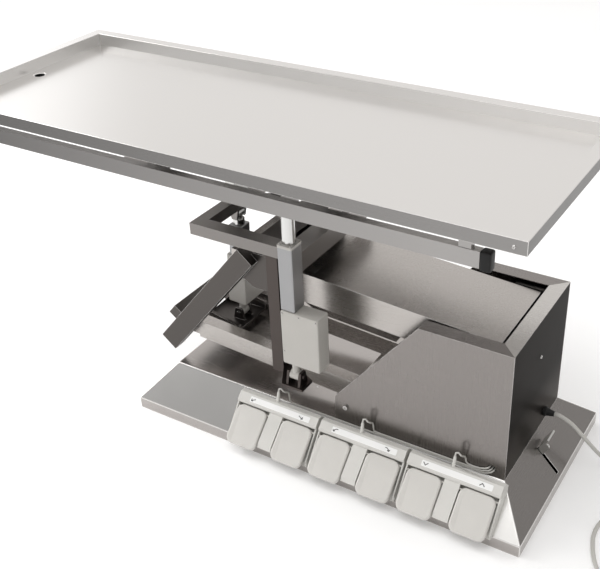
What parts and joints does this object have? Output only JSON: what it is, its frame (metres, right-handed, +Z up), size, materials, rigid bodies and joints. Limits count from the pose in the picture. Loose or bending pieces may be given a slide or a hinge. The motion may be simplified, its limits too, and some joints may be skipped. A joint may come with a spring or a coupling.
{
  "type": "operating_table",
  "caption": "Electric veterinary operating table with a brushed stainless tray top on a tilting frame, a parallelogram lift arm, linear actuators and foot switches on a low base.",
  "frame": {"origin": "on the floor under the centre of the base, on the table's plane of symmetry", "axes": "+X along the table towards the mains cord's end, away from the drain; +Z up; the foot switches are at -Y"},
  "size_m": [1.8303, 0.62, 0.7171],
  "materials": {
    "brushed_stainless": "brushed",
    "satin_stainless": "satin",
    "dark_stainless": "brushed",
    "zinc_plated_steel": "satin",
    "anodised_aluminium": "satin",
    "warm_grey_plastic": "matte",
    "beige_pedal_plastic": "matte",
    "black_plastic": "matte",
    "light_grey_cord": "matte",
    "grey_wheel_rubber": "matte"
  },
  "bodies": {
    "base": {"base_pan": "zinc_plated_steel", "base_shell": "brushed_stainless", "housing_front": "brushed_stainless", "housing_rear": "brushed_stainless", "housing_end": "brushed_stainless", "pivot_frame": "zinc_plated_steel", "control_box": "black_plastic", "foot_switch_1": "beige_pedal_plastic", "foot_switch_2": "beige_pedal_plastic", "foot_switch_3": "beige_pedal_plastic", "pedal_lead_1": "light_grey_cord", "pedal_lead_2": "light_grey_cord", "pedal_lead_3": "light_grey_cord", "cord_gland": "black_plastic", "power_cord": "light_grey_cord", "cord_coil": "light_grey_cord", "mains_plug": "light_grey_cord"},
    "castor_lever": {"castor_lever": "zinc_plated_steel"},
    "castor_wheel_front": {"castor_wheel_front": "grey_wheel_rubber"},
    "castor_wheel_rear": {"castor_wheel_rear": "grey_wheel_rubber"},
    "roller_front": {"roller_front": "grey_wheel_rubber"},
    "roller_rear": {"roller_rear": "grey_wheel_rubber"},
    "lift_arm": {"lift_arm": "brushed_stainless", "arm_cover": "brushed_stainless"},
    "lower_arm": {"lower_arm": "dark_stainless"},
    "lift_actuator": {"lift_actuator": "warm_grey_plastic"},
    "lift_rod": {"lift_rod": "zinc_plated_steel"},
    "head": {"head_side_front": "dark_stainless", "head_side_rear": "dark_stainless", "head_pivot_box": "dark_stainless", "head_cradle": "dark_stainless"},
    "trend_actuator": {"trend_motor": "warm_grey_plastic", "trend_tube": "anodised_aluminium"},
    "trend_rod": {"trend_rod": "anodised_aluminium"},
    "ring": {"ring_frame": "dark_stainless", "tilt_post": "dark_stainless", "tilt_bearing_left": "dark_stainless", "tilt_bearing_right": "dark_stainless"},
    "tilt_actuator": {"tilt_motor": "warm_grey_plastic", "tilt_tube": "anodised_aluminium"},
    "tilt_rod": {"tilt_rod": "anodised_aluminium"},
    "top": {"cross_frame": "dark_stainless", "beam_front": "brushed_stainless", "beam_rear": "brushed_stainless", "beam_cap_front_left": "black_plastic", "beam_cap_front_right": "black_plastic", "beam_cap_rear_left": "black_plastic", "beam_cap_rear_right": "black_plastic", "tray": "satin_stainless", "drain_fitting": "zinc_plated_steel"},
    "pedal_1_left": {"pedal_1_left": "beige_pedal_plastic"},
    "pedal_1_right": {"pedal_1_right": "beige_pedal_plastic"},
    "pedal_2_left": {"pedal_2_left": "beige_pedal_plastic"},
    "pedal_2_right": {"pedal_2_right": "beige_pedal_plastic"},
    "pedal_3_left": {"pedal_3_left": "beige_pedal_plastic"},
    "pedal_3_right": {"pedal_3_right": "beige_pedal_plastic"}
  },
  "joints": [
    {"name": "lift", "type": "hinge", "parent": "base", "child": "lift_arm", "pos_m": [0.336, 0, 0.355], "axis": [0, 1, 0], "range_deg": [-2, 50]},
    {"name": "lower_arm_swing", "type": "hinge", "parent": "base", "child": "lower_arm", "pos_m": [0.16089, 0, 0.14296], "axis": [0, 1, 0], "range_deg": [-2, 50]},
    {"name": "head_level", "type": "hinge", "parent": "lift_arm", "child": "head", "pos_m": [-0.24376, 0, 0.393], "axis": [0, 1, 0], "range_deg": [-50, 2]},
    {"name": "lift_actuator_swing", "type": "hinge", "parent": "base", "child": "lift_actuator", "pos_m": [0.338, 0, 0.15], "axis": [0, 1, 0], "range_deg": [-1, 20]},
    {"name": "lift_rod_slide", "type": "slide", "parent": "lift_actuator", "child": "lift_rod", "axis": [-0.7004, 0, 0.7137], "range_m": [-0.0045, 0.105]},
    {"name": "trend", "type": "hinge", "parent": "head", "child": "ring", "pos_m": [-0.134, 0, 0.4845], "axis": [0, 1, 0], "range_deg": [-3, 16]},
    {"name": "trend_actuator_swing", "type": "hinge", "parent": "head", "child": "trend_actuator", "pos_m": [-0.33, 0, 0.19], "axis": [0, 1, 0], "range_deg": [-1, 0.5]},
    {"name": "trend_rod_slide", "type": "slide", "parent": "trend_actuator", "child": "trend_rod", "axis": [0.0415, 0, 0.9991], "range_m": [-0.01, 0.0525]},
    {"name": "side_tilt", "type": "hinge", "parent": "ring", "child": "top", "pos_m": [-0.134, 0, 0.585], "axis": [1, 0, 0], "range_deg": [-15, 15]},
    {"name": "tilt_actuator_swing", "type": "hinge", "parent": "ring", "child": "tilt_actuator", "pos_m": [-0.053, -0.19, 0.222], "axis": [1, 0, 0], "range_deg": [-2, 2]},
    {"name": "tilt_rod_slide", "type": "slide", "parent": "tilt_actuator", "child": "tilt_rod", "axis": [0, 0, 1], "range_m": [-0.05, 0.05]},
    {"name": "castor_swing", "type": "hinge", "parent": "base", "child": "castor_lever", "pos_m": [0.4, 0, 0.028], "axis": [0, 1, 0], "range_deg": [0, 45]},
    {"name": "castor_wheel_front_spin", "type": "hinge", "parent": "castor_lever", "child": "castor_wheel_front", "pos_m": [0.42954, -0.1505, 0.03321], "axis": [0, 1, 0], "continuous": true},
    {"name": "castor_wheel_rear_spin", "type": "hinge", "parent": "castor_lever", "child": "castor_wheel_rear", "pos_m": [0.42954, 0.1505, 0.03321], "axis": [0, 1, 0], "continuous": true},
    {"name": "roller_front_spin", "type": "hinge", "parent": "base", "child": "roller_front", "pos_m": [-0.44, -0.15, 0.0205], "axis": [0, 1, 0], "continuous": true},
    {"name": "roller_rear_spin", "type": "hinge", "parent": "base", "child": "roller_rear", "pos_m": [-0.44, 0.15, 0.0205], "axis": [0, 1, 0], "continuous": true},
    {"name": "pedal_1_left_press", "type": "hinge", "parent": "base", "child": "pedal_1_left", "pos_m": [-0.1655, -0.20159, 0.08755], "axis": [1, 0, 0], "range_deg": [0, 4], "stiffness_Nm_per_rad": 3, "springref_deg": -2.86},
    {"name": "pedal_1_right_press", "type": "hinge", "parent": "base", "child": "pedal_1_right", "pos_m": [-0.0485, -0.20159, 0.08755], "axis": [1, 0, 0], "range_deg": [0, 4], "stiffness_Nm_per_rad": 3, "springref_deg": -2.86},
    {"name": "pedal_2_left_press", "type": "hinge", "parent": "base", "child": "pedal_2_left", "pos_m": [0.0465, -0.20159, 0.08755], "axis": [1, 0, 0], "range_deg": [0, 4], "stiffness_Nm_per_rad": 3, "springref_deg": -2.86},
    {"name": "pedal_2_right_press", "type": "hinge", "parent": "base", "child": "pedal_2_right", "pos_m": [0.1635, -0.20159, 0.08755], "axis": [1, 0, 0], "range_deg": [0, 4], "stiffness_Nm_per_rad": 3, "springref_deg": -2.86},
    {"name": "pedal_3_left_press", "type": "hinge", "parent": "base", "child": "pedal_3_left", "pos_m": [0.2585, -0.20159, 0.08755], "axis": [1, 0, 0], "range_deg": [0, 4], "stiffness_Nm_per_rad": 3, "springref_deg": -2.86},
    {"name": "pedal_3_right_press", "type": "hinge", "parent": "base", "child": "pedal_3_right", "pos_m": [0.3755, -0.20159, 0.08755], "axis": [1, 0, 0], "range_deg": [0, 4], "stiffness_Nm_per_rad": 3, "springref_deg": -2.86}
  ],
  "couplings": [
    {"joint": "lower_arm_swing", "follows": "lift", "ratio": 1},
    {"joint": "head_level", "follows": "lift", "ratio": -1},
    {"joint": "lift_actuator_swing", "follows": "lift", "ratio": 0.38734},
    {"joint": "lift_rod_slide", "follows": "lift", "m_per_rad": 0.11973},
    {"joint": "trend_actuator_swing", "follows": "trend", "ratio": -0.05129},
    {"joint": "trend_rod_slide", "follows": "trend", "m_per_rad": 0.18615},
    {"joint": "tilt_actuator_swing", "follows": "side_tilt", "ratio": 0.12},
    {"joint": "tilt_rod_slide", "follows": "side_tilt", "m_per_rad": -0.188}
  ]
}
